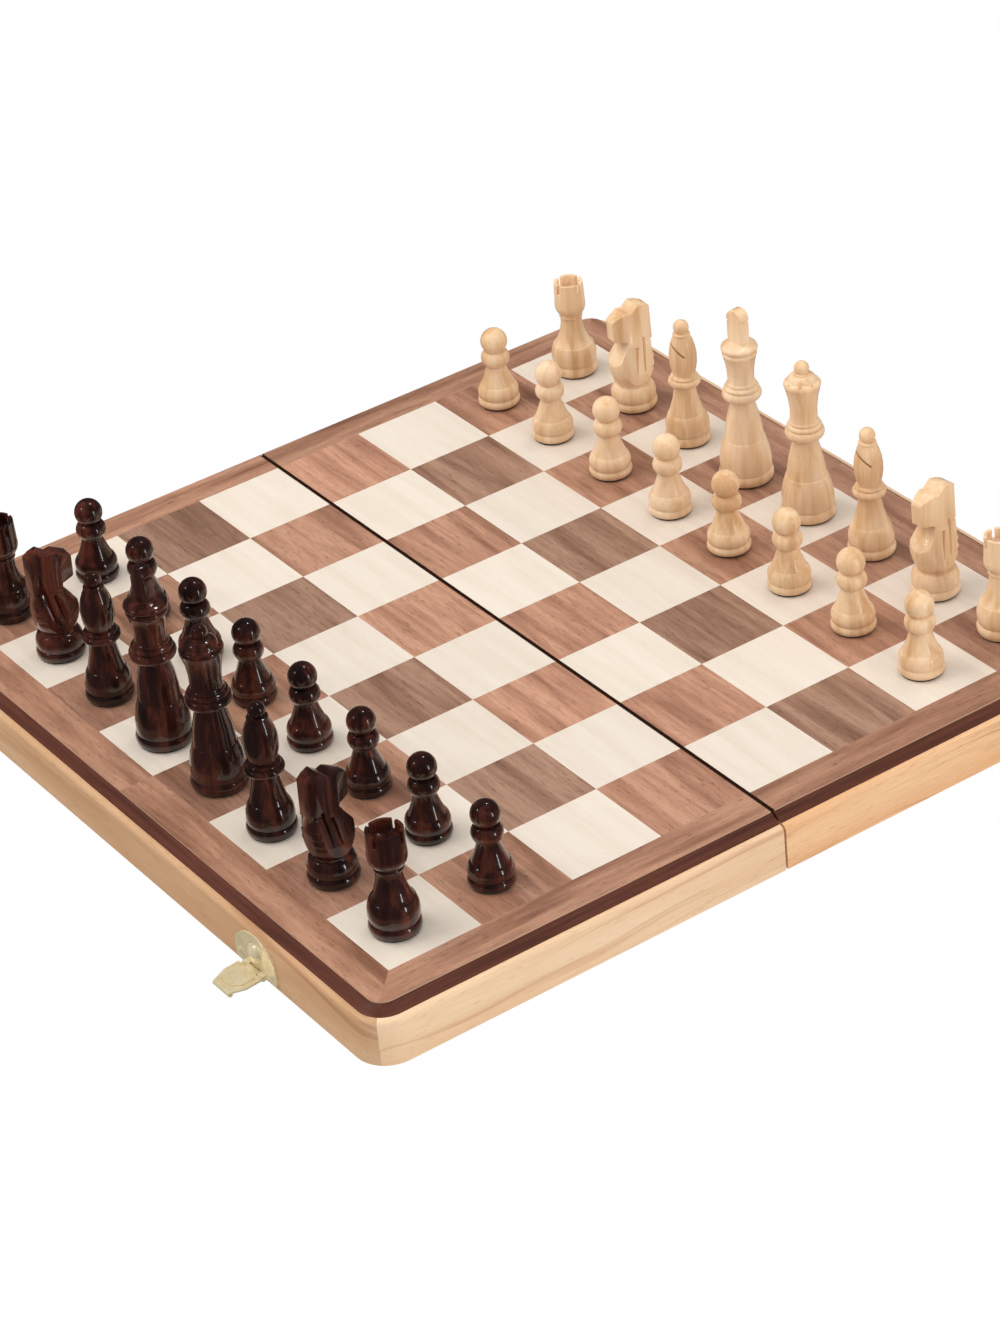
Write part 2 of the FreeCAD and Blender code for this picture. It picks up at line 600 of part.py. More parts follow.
def save_side(colour, columns, facing, girth, turns, rank_offsets, pawn_offsets):
    """All sixteen men of one colour, in their starting places."""
    rank_column, pawn_column = columns
    rook_turns, bishop_turns = turns
    for row, letter in enumerate(FILES):
        save_man(colour + "_pawn_" + letter, pawn_column, row, pawn_offsets[row],
                 pawn(), PAWN_FOOT_R)
    men = {
        0: ("rook_a", rook(girth, rook_turns[0]), ROOK_FOOT_R),
        1: ("knight_b", knight(facing + KNIGHT_TURNS[0]), KNIGHT_FOOT_R),
        2: ("bishop_c", bishop(girth, bishop_turns[0]), BISHOP_FOOT_R),
        3: ("queen", queen(girth), QUEEN_FOOT_R),
        4: ("king", king(girth, KING_TURN), KING_FOOT_R),
        5: ("bishop_f", bishop(girth, bishop_turns[1]), BISHOP_FOOT_R),
        6: ("knight_g", knight(facing + KNIGHT_TURNS[1]), KNIGHT_FOOT_R),
        7: ("rook_h", rook(girth, rook_turns[1]), ROOK_FOOT_R),
    }
    for row, (name, solid, foot_r) in men.items():
        save_man(colour + "_" + name, rank_column, row, rank_offsets[row], solid, foot_r)


# --- build everything -----------------------------------------------------------------
def save_board():
    """Both halves of the box, without their metalwork."""
    ring = wall_ring()
    for name, side in SIDES.items():
        screws = [hinge_screw(side, y + dy) for y in (-HINGE_Y, HINGE_Y)
                  for dy in (-SCREW_PITCH / 2, SCREW_PITCH / 2)]
        leaves = [hinge_leaf(side, y) for y in (-HINGE_Y, HINGE_Y)]
        nails = plate_nails(side, -CLASP_Y) + plate_nails(side, CLASP_Y)
        seam = seam_wall(side)
        for screw in screws:
            seam = seam.cut(screw)
            leaves = [leaf.cut(screw) for leaf in leaves]
        end = end_wall(ring, side)
        for each in nails:
            end = end.cut(each)
        save("panel_" + name, [panel(side)])
        save("maple_squares_" + name, veneer_squares(side, True))
        save("walnut_veneer_" + name, veneer_squares(side, False) + veneer_strips(side))
        save("end_wall_" + name, [end])
        save("front_wall_" + name, [long_wall(ring, side, -1)])
        save("back_wall_" + name, [long_wall(ring, side, 1)])
        save("seam_wall_" + name, [seam])
        save("tray_lining_" + name, [tray_lining(side)])
        save("hinge_leaves_" + name, leaves)
        save("hinge_screws_" + name, screws)
        save("plate_nails_" + name, nails)
        make = clasp_plate if side < 0 else clasp_catch
        plates = [make(y) for y in (-CLASP_Y, CLASP_Y)]
        for each in nails:
            plates = [plate.cut(each) for plate in plates]
        save("clasp_plates" if side < 0 else "clasp_catches", plates)


def save_metalwork():
    """Pins and flaps, which the two halves share or which move on their own."""
    save("hinge_pins", [hinge_pin(-HINGE_Y), hinge_pin(HINGE_Y)])
    save("clasp_pins", [clasp_pin(-CLASP_Y), clasp_pin(CLASP_Y)])
    save("clasp_flap_front", [clasp_flap(-CLASP_Y)])
    save("clasp_flap_back", [clasp_flap(CLASP_Y)])


os.makedirs("parts", exist_ok=True)
save_board()
save_metalwork()
save_side("dark", (0, 1), 0, DARK_GIRTH, (DARK_ROOK_TURNS, DARK_BISHOP_TURNS),
          DARK_RANK_OFFSETS, DARK_PAWN_OFFSETS)
save_side("light", (7, 6), 180, LIGHT_GIRTH, (LIGHT_ROOK_TURNS, LIGHT_BISHOP_TURNS),
          LIGHT_RANK_OFFSETS, LIGHT_PAWN_OFFSETS)
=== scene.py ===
"""Looks of the folding chess box and its men.

All lengths are in metres, in the frame of the CAD model: X across the fold, Y
along it, Z up from the rims that the open box stands on.  Outlines of the men
are written in millimetres above the playing surface and scaled once.
"""

import math

import bmesh
import bpy
from mathutils import Matrix, Quaternion, Vector


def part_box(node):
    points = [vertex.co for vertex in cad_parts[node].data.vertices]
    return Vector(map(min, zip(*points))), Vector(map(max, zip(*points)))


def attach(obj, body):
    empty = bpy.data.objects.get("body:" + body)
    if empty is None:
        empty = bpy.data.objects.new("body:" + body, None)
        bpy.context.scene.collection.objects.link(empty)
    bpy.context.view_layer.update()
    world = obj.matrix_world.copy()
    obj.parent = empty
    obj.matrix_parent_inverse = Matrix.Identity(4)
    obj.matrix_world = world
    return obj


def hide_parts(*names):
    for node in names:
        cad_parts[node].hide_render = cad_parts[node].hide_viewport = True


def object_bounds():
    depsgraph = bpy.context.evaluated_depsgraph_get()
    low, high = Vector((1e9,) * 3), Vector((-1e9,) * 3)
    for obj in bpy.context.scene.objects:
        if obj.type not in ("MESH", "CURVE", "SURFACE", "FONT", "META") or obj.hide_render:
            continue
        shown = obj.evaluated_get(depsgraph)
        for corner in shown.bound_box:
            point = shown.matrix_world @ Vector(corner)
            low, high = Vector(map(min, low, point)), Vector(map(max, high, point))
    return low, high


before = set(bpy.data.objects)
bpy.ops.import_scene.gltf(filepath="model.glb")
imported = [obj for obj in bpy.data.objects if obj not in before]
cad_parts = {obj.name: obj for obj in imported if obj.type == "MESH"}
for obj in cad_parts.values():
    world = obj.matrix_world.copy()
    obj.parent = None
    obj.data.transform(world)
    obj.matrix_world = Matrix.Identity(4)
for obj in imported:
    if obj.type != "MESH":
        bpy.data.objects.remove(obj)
CAD_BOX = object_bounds()

MM = 0.001
SQUARE = 42 * MM
FIELD_HALF = 4 * SQUARE
SEAM_SHADE_REACH = 0.95 * MM       # reach from the fold of the painted seam shadow on the veneer
FILES = "abcdefgh"
AROUND = 96                  # facets round a turned man
ARC_STEP = math.radians(8)   # largest turn between two points of a sampled arc
SHARP = math.radians(32)     # steeper edges stay crisp in the shading
TURN_EDGE = 0.14 * MM        # softened arris of turned wood

# --- men: sizes in millimetres, as in the CAD model --------------------------------
PAD = 0.8                    # felt under the foot
PAD_INSET = 0.9
DRUM_SWELL = 0.8
PAWN = {"height": 37.5, "foot": 9.5}
ROOK = {"height": 45.4, "foot": 10.4}
KNIGHT = {"height": 50.6, "foot": 10.5}
BISHOP = {"height": 59.4, "foot": 10.3}
QUEEN = {"height": 74.0, "foot": 11.9}
KING = {"height": 82.2, "foot": 12.0}
GIRTH = {"dark": 1.0, "light": 0.88}     # of a man above its foot
KNIGHT_JAW = 32.5            # height where the head meets the neck
KNIGHT_FLANK = 4.7           # half the thickness of the neck there
KNIGHT_LEAN = 9              # degrees that the sides of the neck lean in
QUEEN_NOTCHES = 8

# --- men: turns about their own axes, in degrees -------------------------------------
FACING = {"dark": 0, "light": 180}
ROOK_TURNS = {"dark": (26, 8), "light": (-13, 8)}
BISHOP_TURNS = {"dark": (32, 26), "light": (142, 138)}
KNIGHT_TURNS = (6, -4)       # on top of the facing
KING_TURN = 8

# --- studio --------------------------------------------------------------------------
FILL = 0.84                  # all-round light of the white room
REFLECTED_FILL = 0.06        # how much of it shows in polished surfaces
FLOOR_DROP = 115 * MM        # clears the half that hangs down, with its men, in a fold
FLOOR_REACH = 6.0


# --- node graphs ---------------------------------------------------------------------
def srgb(red, green, blue):
    """Linear colour of an 8-bit display colour."""
    def linear(value):
        value /= 255
        return value / 12.92 if value <= 0.04045 else ((value + 0.055) / 1.055) ** 2.4
    return (linear(red), linear(green), linear(blue), 1)


class Graph:
    """A material under construction."""

    def __init__(self, name, **constants):
        self.material = bpy.data.materials.new(name)
        self.material.use_nodes = True
        self.tree = self.material.node_tree
        self.shader = self.tree.nodes["Principled BSDF"]
        for socket, value in constants.items():
            self.shader.inputs[socket.replace("_", " ")].default_value = value
        self.place = self.node("ShaderNodeTexCoord").outputs["Object"]

    def node(self, kind, inputs=None, **settings):
        made = self.tree.nodes.new(kind)
        for key, value in settings.items():
            setattr(made, key, value)
        for key, value in (inputs or {}).items():
            self.feed(made.inputs[key], value)
        return made

    def feed(self, socket, value):
        if isinstance(value, bpy.types.NodeSocket):
            self.tree.links.new(value, socket)
        else:
            socket.default_value = value

    def math(self, operation, first, second=0.0):
        return self.node("ShaderNodeMath", {0: first, 1: second},
                         operation=operation).outputs[0]

    def split(self, vector):
        return self.node("ShaderNodeSeparateXYZ", {0: vector}).outputs

    def join(self, x=0.0, y=0.0, z=0.0):
        return self.node("ShaderNodeCombineXYZ", {0: x, 1: y, 2: z}).outputs[0]

    def vector(self, operation, first, second):
        return self.node("ShaderNodeVectorMath", {0: first, 1: second},
                         operation=operation).outputs[0]

    def mix(self, factor, first, second, blend="MIX"):
        """Mix of two colours."""
        return self.node("ShaderNodeMix", {0: factor, 6: first, 7: second},
                         data_type="RGBA", blend_type=blend).outputs[2]

    def choose(self, factor, first, second):
        """Mix of two vectors."""
        return self.node("ShaderNodeMix", {0: factor, 4: first, 5: second},
                         data_type="VECTOR").outputs[1]

    def noise(self, vector, detail=4.0, roughness=0.55, distortion=0.0):
        return self.node("ShaderNodeTexNoise",
                         {"Vector": vector, "Scale": 1.0, "Detail": detail,
                          "Roughness": roughness, "Distortion": distortion}).outputs[0]

    def remap(self, value, low, high, new_low=0.0, new_high=1.0):
        """Straight map of low..high onto new_low..new_high, clamped."""
        return self.node("ShaderNodeMapRange",
                         {0: value, 1: low, 2: high, 3: new_low, 4: new_high}).outputs[0]

    def ramp(self, value, *stops):
        """Colour ramp through (place, colour) stops."""
        made = self.node("ShaderNodeValToRGB", {0: value})
        elements = made.color_ramp.elements
        while len(elements) < len(stops):
            elements.new(0.5)
        for element, (place, colour) in zip(elements, stops):
            element.position = place
            element.color = colour
        return made.outputs[0]

    def random(self, vector):
        return self.node("ShaderNodeTexWhiteNoise", {"Vector": vector},
                         noise_dimensions="3D").outputs

    def bump(self, height, distance, strength=1.0):
        return self.node("ShaderNodeBump", {"Height": height, "Distance": distance,
                                            "Strength": strength}).outputs[0]

    def finish(self, **links):
        for socket, value in links.items():
            self.feed(self.shader.inputs[socket.replace("_", " ")], value)
        return self.material


def grain_vector(g, place, along, across, seed=None):
    """Coordinates stretched for wood: place.x runs across the grain, place.y along it."""
    stretched = g.vector("MULTIPLY", place, (across, along, across))
    if seed is None:
        return stretched
    shift = g.vector("MULTIPLY", seed, (37.0, 23.0, 11.0))
    return g.vector("ADD", stretched, shift)


def along_edges(g):
    """Place with its second axis along whichever side of the board is nearest."""
    x, y, z = g.split(g.place)
    front_or_back = g.math("GREATER_THAN", g.math("ABSOLUTE", y), g.math("ABSOLUTE", x))
    return g.choose(front_or_back, g.place, g.join(y, x, z)), front_or_back, x, y


def veneer_layout(g):
    """Place along the grain of each inlaid piece of veneer, and a random triple for it."""
    strip_place, front_or_back, x, y = along_edges(g)
    reach = g.math("MAXIMUM", g.math("ABSOLUTE", x), g.math("ABSOLUTE", y))
    in_border = g.math("GREATER_THAN", reach, FIELD_HALF)
    column = g.math("FLOOR", g.math("DIVIDE", x, SQUARE))
    from_fold = g.math("FLOOR", g.math("DIVIDE", g.math("ABSOLUTE", x), SQUARE))
    row = g.math("FLOOR", g.math("DIVIDE", y, SQUARE))
    square = g.join(column, row, 0.5)
    strip = g.join(g.math("MULTIPLY", g.math("SIGN", x), 11.0),
                   g.math("MULTIPLY", g.math("MULTIPLY", g.math("SIGN", y), front_or_back), 17.0),
                   g.math("MULTIPLY", front_or_back, 5.5))
    key = g.choose(in_border, square, strip)
    place = g.choose(in_border, g.place, strip_place)
    return place, g.random(key), in_border, from_fold


def painted_seam_shade(g):
    """One where the veneer beside the fold is painted dark, as painted shadow of the seam gap,
    else zero.
    """
    x, _, _ = g.split(g.place)
    return g.math("LESS_THAN", g.math("ABSOLUTE", x), SEAM_SHADE_REACH)


# --- materials -------------------------------------------------------------------------
def walnut():
    """Oiled walnut veneer; tone and figure change from piece to piece."""
    g = Graph("walnut", Coat_Weight=0.25, Coat_Roughness=0.3, Specular_IOR_Level=0.45)
    place, (tone, triple), in_border, from_fold = veneer_layout(g)
    bands = g.noise(grain_vector(g, place, 9.0, 115.0, triple), 5.0, 0.6, 0.35)
    fibres = g.noise(grain_vector(g, place, 90.0, 2300.0, triple), 3.0, 0.6)
    pores = g.noise(grain_vector(g, place, 210.0, 1900.0, triple), 2.0, 0.5)
    pore_mask = g.remap(pores, 0.60, 0.70)
    colour = g.ramp(bands, (0.30, srgb(126, 86, 66)), (0.47, srgb(166, 122, 98)),
                    (0.58, srgb(188, 144, 118)), (0.72, srgb(150, 106, 84)))
    colour = g.mix(g.remap(fibres, 0.3, 0.7, 0.0, 0.35), colour, srgb(112, 76, 58))
    colour = g.mix(g.math("MULTIPLY", pore_mask, 0.55), colour, srgb(92, 58, 42))
    tint = g.remap(tone, 0.0, 1.0, 0.92, 1.08)
    colour = g.mix(1.0, colour, g.join(tint, tint, tint), "MULTIPLY")
    # Walnut squares are made lighter or darker, and warmer or cooler, by their column counted
    # from the fold, alike on both halves; the border gets one fixed shift.
    column_shift = g.ramp(g.math("DIVIDE", from_fold, 4.0), (0.0, (1.16, 1.12, 1.10, 1)),
                          (0.25, (0.80, 0.84, 0.86, 1)), (0.5, (1.04, 1.00, 0.97, 1)),
                          (0.75, (0.90, 0.88, 0.88, 1)))
    column_shift = g.choose(in_border, column_shift, (0.98, 0.94, 0.90))
    colour = g.mix(1.0, colour, column_shift, "MULTIPLY")
    _, _, up = g.split(g.node("ShaderNodeTexCoord").outputs["Normal"])
    side_face = g.math("LESS_THAN", g.math("ABSOLUTE", up), 0.5)
    colour = g.mix(g.math("MULTIPLY", side_face, 0.8), colour, srgb(196, 160, 132))
    # Painted shade: the veneer next to the fold is darkened as if shadowed by the seam gap.
    colour = g.mix(painted_seam_shade(g), colour, srgb(52, 32, 22))
    height = g.math("SUBTRACT", g.math("MULTIPLY", fibres, 0.5), pore_mask)
    return g.finish(Base_Color=colour, Roughness=g.remap(fibres, 0.2, 0.8, 0.36, 0.50),
                    Normal=g.bump(height, 0.05 * MM, 0.35))


def maple():
    """Pale maple veneer with a faint silky figure."""
    g = Graph("maple", Coat_Weight=0.25, Coat_Roughness=0.3, Specular_IOR_Level=0.45)
    place, (tone, triple), _, _ = veneer_layout(g)
    bands = g.noise(grain_vector(g, place, 12.0, 150.0, triple), 4.0, 0.55, 0.2)
    fibres = g.noise(grain_vector(g, place, 110.0, 2100.0, triple), 3.0, 0.6)
    flecks = g.remap(g.noise(grain_vector(g, place, 420.0, 1500.0, triple), 1.0), 0.66, 0.74)
    colour = g.ramp(bands, (0.3, srgb(214, 200, 184)), (0.5, srgb(219, 206, 191)),
                    (0.7, srgb(223, 211, 197)))
    colour = g.mix(g.remap(fibres, 0.35, 0.75, 0.0, 0.22), colour, srgb(204, 184, 160))
    colour = g.mix(g.math("MULTIPLY", flecks, 0.25), colour, srgb(192, 168, 140))
    tint = g.remap(tone, 0.0, 1.0, 0.965, 1.02)
    colour = g.mix(1.0, colour, g.join(tint, tint, tint), "MULTIPLY")
    # Painted shade: the veneer next to the fold is darkened as if shadowed by the seam gap.
    colour = g.mix(painted_seam_shade(g), colour, srgb(52, 32, 22))
    return g.finish(Base_Color=colour, Roughness=g.remap(fibres, 0.2, 0.8, 0.36, 0.46),
                    Normal=g.bump(fibres, 0.03 * MM, 0.3))


def stained_panel():
    """Edge of the core panel, stained dark brown and varnished."""
    g = Graph("stained_panel", Coat_Weight=0.5, Coat_Roughness=0.16)
    place, _, _, _ = along_edges(g)
    bands = g.noise(grain_vector(g, place, 12.0, 420.0), 4.0, 0.6)
    fibres = g.noise(grain_vector(g, place, 120.0, 2600.0), 3.0, 0.6)
    colour = g.ramp(bands, (0.3, srgb(74, 36, 24)), (0.6, srgb(104, 56, 40)),
                    (0.8, srgb(88, 46, 34)))
    colour = g.mix(g.remap(fibres, 0.35, 0.7, 0.0, 0.4), colour, srgb(54, 26, 18))
    return g.finish(Base_Color=colour, Roughness=g.remap(fibres, 0.3, 0.7, 0.3, 0.42),
                    Normal=g.bump(fibres, 0.04 * MM, 0.4))


def wall_wood(name, pale, warm, line, seed):
    """Clear-lacquered softwood of one wall: flowing growth lines and fine flecks."""
    g = Graph(name, Coat_Weight=0.2, Coat_Roughness=0.3)
    place, _, _, _ = along_edges(g)
    place = g.vector("ADD", place, (seed * 0.37, seed * 0.81, seed * 0.53))
    drift = g.noise(grain_vector(g, place, 5.0, 26.0), 2.0, 0.5)
    across, lengthwise, up = g.split(place)
    wander = g.math("MULTIPLY", g.math("SUBTRACT", drift, 0.5), 0.030)
    level = g.math("ADD", g.math("ADD", up, g.math("MULTIPLY", across, 0.35)), wander)
    rings = g.noise(g.join(g.math("MULTIPLY", level, 260.0),
                           g.math("MULTIPLY", lengthwise, 3.5), 0.3), 3.0, 0.6)
    broad = g.noise(grain_vector(g, place, 7.0, 60.0), 3.0, 0.5)
    fibres = g.noise(grain_vector(g, place, 60.0, 1900.0), 3.0, 0.6)
    flecks = g.remap(g.noise(grain_vector(g, place, 150.0, 1100.0), 2.0, 0.5), 0.62, 0.72)
    colour = g.mix(g.remap(broad, 0.35, 0.65), pale, warm)
    ring_line = g.remap(rings, 0.56, 0.68)
    colour = g.mix(g.math("MULTIPLY", ring_line, 0.55), colour, line)
    colour = g.mix(g.remap(fibres, 0.4, 0.75, 0.0, 0.25), colour, line)
    colour = g.mix(g.math("MULTIPLY", flecks, 0.35), colour, line)
    height = g.math("SUBTRACT", fibres, g.math("MULTIPLY", ring_line, 0.4))
    return g.finish(Base_Color=colour, Roughness=g.remap(fibres, 0.2, 0.8, 0.38, 0.52),
                    Normal=g.bump(height, 0.05 * MM, 0.35))


def raw_wood():
    """Dull, darkened inner wall along the fold."""
    g = Graph("seam_wood", Roughness=0.62)
    fibres = g.noise(grain_vector(g, g.place, 40.0, 1500.0), 4.0, 0.6)
    bands = g.noise(grain_vector(g, g.place, 6.0, 130.0), 4.0, 0.6)
    colour = g.mix(g.remap(bands, 0.35, 0.65), srgb(120, 84, 58), srgb(98, 66, 44))
    colour = g.mix(g.remap(fibres, 0.4, 0.7, 0.0, 0.4), colour, srgb(70, 44, 28))
    return g.finish(Base_Color=colour, Normal=g.bump(fibres, 0.08 * MM, 0.5))


def lacquered(name, deep, body, bright, gloss, coat_roughness, bands_strength):
    """Polished wood of the men, with the grain upright."""
    g = Graph(name, Coat_Weight=gloss, Coat_Roughness=coat_roughness,
              Specular_IOR_Level=0.15)
    x, y, z = g.split(g.place)
    wander = g.noise(g.vector("MULTIPLY", g.place, (60.0, 60.0, 12.0)), 2.0, 0.5)
    skew = g.math("MULTIPLY", g.math("SUBTRACT", wander, 0.5), 0.010)
    place = g.join(g.math("ADD", x, skew), z, g.math("ADD", y, skew))
    growth = g.noise(grain_vector(g, place, 9.0, 210.0), 4.0, 0.6)
    fibres = g.noise(grain_vector(g, place, 75.0, 1900.0), 3.0, 0.6)
    pores = g.remap(g.noise(grain_vector(g, place, 170.0, 1500.0), 2.0), 0.60, 0.70)
    patches = g.noise(g.vector("MULTIPLY", g.place, (34.0, 34.0, 24.0)), 2.0, 0.5)
    tone = g.math("ADD", growth, g.math("SUBTRACT", g.math("MULTIPLY", patches, 0.7), 0.35))
    colour = g.ramp(tone, (0.28, deep), (0.5, body), (0.72, bright))
    colour = g.mix(g.remap(fibres, 0.4, 0.75, 0.0, bands_strength), colour, deep)
    colour = g.mix(g.math("MULTIPLY", pores, bands_strength), colour, deep)
    return g.finish(Base_Color=colour, Roughness=g.remap(fibres, 0.2, 0.8, 0.30, 0.44),
                    Normal=g.bump(fibres, 0.03 * MM, 0.3))


def brass(name, colour, deep, roughness):
    """Thin pressed brass with faint brushing and handling marks."""
    g = Graph(name, Metallic=0.45, Specular_IOR_Level=0.8)
    patches = g.noise(g.vector("MULTIPLY", g.place, (260.0, 260.0, 260.0)), 4.0, 0.6)
    brushing = g.noise(g.vector("MULTIPLY", g.place, (900.0, 700.0, 6000.0)), 2.0, 0.6)
    mixed = g.mix(g.remap(patches, 0.4, 0.75, 0.0, 0.7), colour, deep)
    return g.finish(Base_Color=mixed,
                    Roughness=g.remap(patches, 0.3, 0.7, roughness * 0.75, roughness * 1.35),
                    Normal=g.bump(brushing, 0.004 * MM, 0.2))


def felt(name, colour, shade):
    """Pressed felt: short tangled fibres."""
    g = Graph(name, Roughness=0.95, Sheen_Weight=0.35, Sheen_Roughness=0.5,
              Specular_IOR_Level=0.15)
    fibres = g.noise(g.vector("MULTIPLY", g.place, (2600.0, 2600.0, 2600.0)), 4.0, 0.7, 1.2)
    patches = g.noise(g.vector("MULTIPLY", g.place, (90.0, 90.0, 90.0)), 3.0, 0.5)
    colour = g.mix(g.remap(fibres, 0.35, 0.7), shade, colour)
    colour = g.mix(g.remap(patches, 0.4, 0.7, 0.0, 0.3), colour, shade)
    return g.finish(Base_Color=colour, Normal=g.bump(fibres, 0.25 * MM, 0.8))


def studio_floor():
    """Plain white that is lit from within, so it shows no shadows."""
    g = Graph("studio_floor", Roughness=0.9, Specular_IOR_Level=0.0,
              Base_Color=(0.0, 0.0, 0.0, 1), Emission_Strength=1.0)
    cloud = g.noise(g.vector("MULTIPLY", g.place, (3.0, 3.0, 3.0)), 1.0)
    colour = g.mix(cloud, (1.0, 1.0, 1.0, 1), (0.99, 0.99, 0.99, 1))
    return g.finish(Emission_Color=colour)


# --- meshes ----------------------------------------------------------------------------
def link_object(name, data):
    made = bpy.data.objects.new(name, data)
    bpy.context.scene.collection.objects.link(made)
    return made


def new_object(name, verts, faces):
    mesh = bpy.data.meshes.new(name)
    mesh.from_pydata(verts, [], faces)
    mesh.update()
    return link_object(name, mesh)


def from_bmesh(name, shell):
    """Object of a bmesh, which is used up."""
    mesh = bpy.data.meshes.new(name)
    shell.to_mesh(mesh)
    shell.free()
    return link_object(name, mesh)


def face_outwards(made):
    """Turn every face of a closed mesh outwards."""
    shell = bmesh.new()
    shell.from_mesh(made.data)
    bmesh.ops.recalc_face_normals(shell, faces=shell.faces)
    shell.to_mesh(made.data)
    shell.free()
    return made


def smooth(made):
    for face in made.data.polygons:
        face.use_smooth = True
    made.data.set_sharp_from_angle(angle=SHARP)
    return made


def apply_modifiers(made):
    """Replace the object's mesh by the result of its modifiers."""
    graph = bpy.context.evaluated_depsgraph_get()
    mesh = bpy.data.meshes.new_from_object(made.evaluated_get(graph))
    old = made.data
    made.modifiers.clear()
    made.data = mesh
    bpy.data.meshes.remove(old)
    return made


def soften(made, width, segments=2, angle=SHARP):
    bevel = made.modifiers.new("soft_edges", "BEVEL")
    bevel.width = width
    bevel.segments = segments
    bevel.limit_method = "ANGLE"
    bevel.angle_limit = angle
    return apply_modifiers(made)


def combine(made, other, operation):
    """Exact boolean of made with other, which is used up."""
    tool = made.modifiers.new(operation, "BOOLEAN")
    tool.operation = operation
    tool.object = other
    tool.solver = "EXACT"
    apply_modifiers(made)
    bpy.data.objects.remove(other)
    return made


def arc_points(start, middle, end):
    """Points after start on the circle through three points, up to end."""
    (ax, ay), (bx, by), (cx, cy) = start, middle, end
    cross = 2 * (ax * (by - cy) + bx * (cy - ay) + cx * (ay - by))
    if abs(cross) < 1e-9:
        return [end]
    a2, b2, c2 = ax * ax + ay * ay, bx * bx + by * by, cx * cx + cy * cy
    ox = (a2 * (by - cy) + b2 * (cy - ay) + c2 * (ay - by)) / cross
    oy = (a2 * (cx - bx) + b2 * (ax - cx) + c2 * (bx - ax)) / cross
    radius = math.hypot(ax - ox, ay - oy)
    first = math.atan2(ay - oy, ax - ox)
    via = (math.atan2(by - oy, bx - ox) - first) % math.tau
    sweep = (math.atan2(cy - oy, cx - ox) - first) % math.tau
    if via > sweep:
        sweep -= math.tau
    count = max(2, math.ceil(abs(sweep) / ARC_STEP))
    return [(ox + radius * math.cos(first + sweep * i / count),
             oy + radius * math.sin(first + sweep * i / count)) for i in range(1, count)] + [end]


def outline(start, *steps):
    """Sampled outline from steps: (r, z) a straight run, (r1, z1, r, z) an arc
    through the first point, (z,) a spherical cap that ends on the axis."""
    points = [start]
    for step in steps:
        last = points[-1]
        if len(step) == 1:
            rise = step[0] - last[1]
            ball = (last[0] ** 2 + rise ** 2) / (2 * rise)
            half = math.atan2(last[0], ball - rise) / 2
            step = (ball * math.sin(half), step[0] - ball + ball * math.cos(half), 0, step[0])
        if len(step) == 2:
            points.append(step)
        else:
            points += arc_points(last, step[:2], step[2:])
    return points


def turned(name, start, *steps):
    """Closed solid of revolution about Z, in millimetres."""
    points = outline(start, *steps)
    verts = [(0, 0, points[0][1])]
    faces = []
    rings = []
    for radius, z in points:
        if radius < 1e-6:
            break
        rings.append(len(verts))
        verts += [(radius * math.cos(math.tau * i / AROUND),
                   radius * math.sin(math.tau * i / AROUND), z) for i in range(AROUND)]
    top = len(verts)
    verts.append((0, 0, points[-1][1]))
    for i in range(AROUND):
        after = (i + 1) % AROUND
        faces.append((0, rings[0] + after, rings[0] + i))
        for low, high in zip(rings, rings[1:]):
            faces.append((low + i, low + after, high + after, high + i))
        faces.append((rings[-1] + i, rings[-1] + after, top))
    return new_object(name, verts, faces)


def block(name, size, centre, turn=None):
    """Cutter in the shape of a box, in millimetres."""
    shell = bmesh.new()
    bmesh.ops.create_cube(shell, size=1.0)
    place = Matrix.Translation(Vector(centre)) @ (turn or Matrix()) @ Matrix.Diagonal((*size, 1))
    shell.transform(place)
    return from_bmesh(name, shell)


def turned_bar(name, radius, length, place):
    """Round bar along X about the middle of place, in millimetres."""
    shell = bmesh.new()
    bmesh.ops.create_cone(shell, cap_ends=True, segments=32, radius1=radius, radius2=radius,
                          depth=length)
    shell.transform(place @ Matrix.Rotation(math.radians(90), 4, "Y"))
    return from_bmesh(name, shell)


def extruded(name, points, low, high):
    """Prism over an outline in (x, z), from y = low to y = high, in millimetres."""
    count = len(points)
    verts = [(x, low, z) for x, z in points] + [(x, high, z) for x, z in points]
    faces = [tuple(range(count)), tuple(reversed(range(count, 2 * count)))]
    faces += [(i, i + count, (i + 1) % count + count, (i + 1) % count) for i in range(count)]
    return face_outwards(new_object(name, verts, faces))


def turn_z(degrees):
    return Matrix.Rotation(math.radians(degrees), 4, "Z")


def foot_steps(radius, groove, drum_r, drum_top):
    """Moulded foot of every man: torus, groove, swelling drum, fine step."""
    drum_start = radius - 0.65
    return [(radius, 0.5 * (PAD + groove) - 0.2, radius - 0.6, groove - 0.3),
            (radius - 0.9, groove), (drum_start, groove + 0.4),
            (0.5 * (drum_start + drum_r) + DRUM_SWELL, 0.5 * (groove + drum_top),
             drum_r, drum_top),
            (drum_r - 0.35, drum_top + 0.25)]


def slim(girth, low, high, *steps):
    """The steps with radii that go from full at height low to girth times at high."""
    def scaled(r, z):
        share = min(max((z - low) / (high - low), 0), 1)
        return r * (1 + (girth - 1) * share), z

    slimmed = []
    for step in steps:
        points = [scaled(*step[i:i + 2]) for i in range(0, len(step) - 1, 2)]
        slimmed.append(sum(points, ()) if points else step)
    return slimmed


# Every man is made by a function of its name, girth and turn, even where it uses no turn
# or its outline has no slim form, so that place_side can treat them alike.
def pawn(name, girth, turn):
    return turned(name, (PAWN["foot"] - 0.6, PAD), *foot_steps(PAWN["foot"], 4.3, 7.8, 10.2),
                  (5.9, 14.4, 4.4, 19.2), (4.4, 19.6), (6.4, 23.0, 5.3, 26.3),
                  (4.9, 26.8), (3.95, 27.0), (PAWN["height"],))


